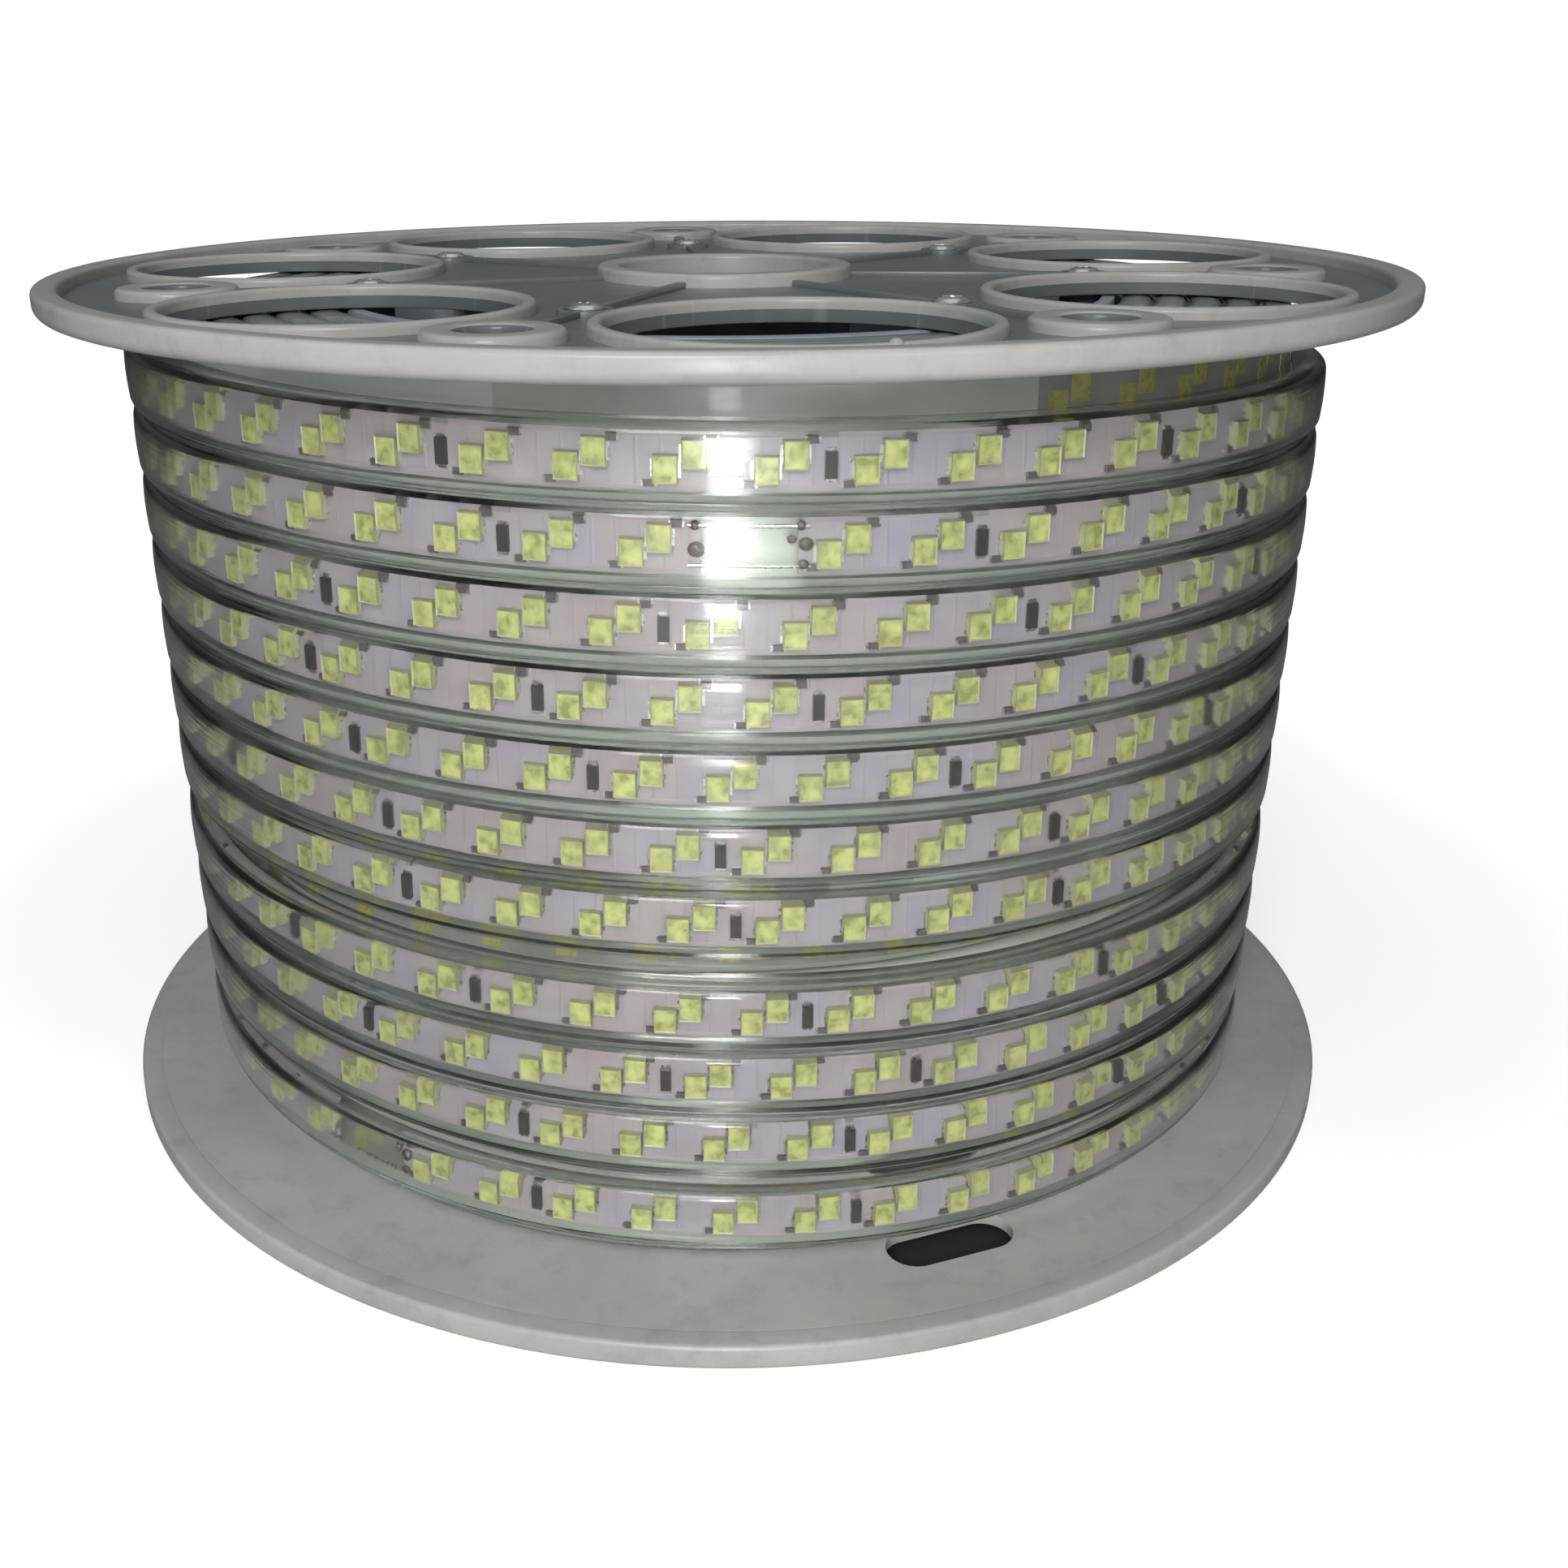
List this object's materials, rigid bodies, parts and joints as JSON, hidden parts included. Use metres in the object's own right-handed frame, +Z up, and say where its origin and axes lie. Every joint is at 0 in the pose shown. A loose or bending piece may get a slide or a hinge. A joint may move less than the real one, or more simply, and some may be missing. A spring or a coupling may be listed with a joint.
{
  "type": "led rope light reel",
  "caption": "Flat clear rope light with a row of lamps inside, wound on a flanged plastic reel that stands on its lower flange.",
  "frame": {"origin": "middle of the plane that the reel stands on", "axes": "+Z up along the reel's axis, -Y towards the side that the picture shows, +X to the right in the picture"},
  "size_m": [0.3, 0.2998, 0.1883],
  "materials": {
    "flange_plastic": "moulded, slightly glossy on the bead and rims",
    "barrel_plastic": "plain extruded tube",
    "clear_vinyl": "glossy clear vinyl, grey-green over the layers beneath",
    "white_board": "white solder resist",
    "plug_vinyl": "moulded vinyl",
    "screw_steel": "bright zinc"
  },
  "bodies": {
    "root": {"barrel": "barrel_plastic", "circuit_strip": "white_board", "end_plug": "plug_vinyl", "lower_flange": "flange_plastic", "lower_screw_1": "screw_steel", "lower_screw_2": "screw_steel", "lower_screw_3": "screw_steel", "lower_screw_4": "screw_steel", "lower_screw_5": "screw_steel", "lower_screw_6": "screw_steel", "lower_screw_7": "screw_steel", "rope_sleeve": "clear_vinyl", "upper_flange": "flange_plastic", "upper_screw_1": "screw_steel", "upper_screw_2": "screw_steel", "upper_screw_3": "screw_steel", "upper_screw_4": "screw_steel", "upper_screw_5": "screw_steel", "upper_screw_6": "screw_steel", "upper_screw_7": "screw_steel"}
  },
  "joints": []
}
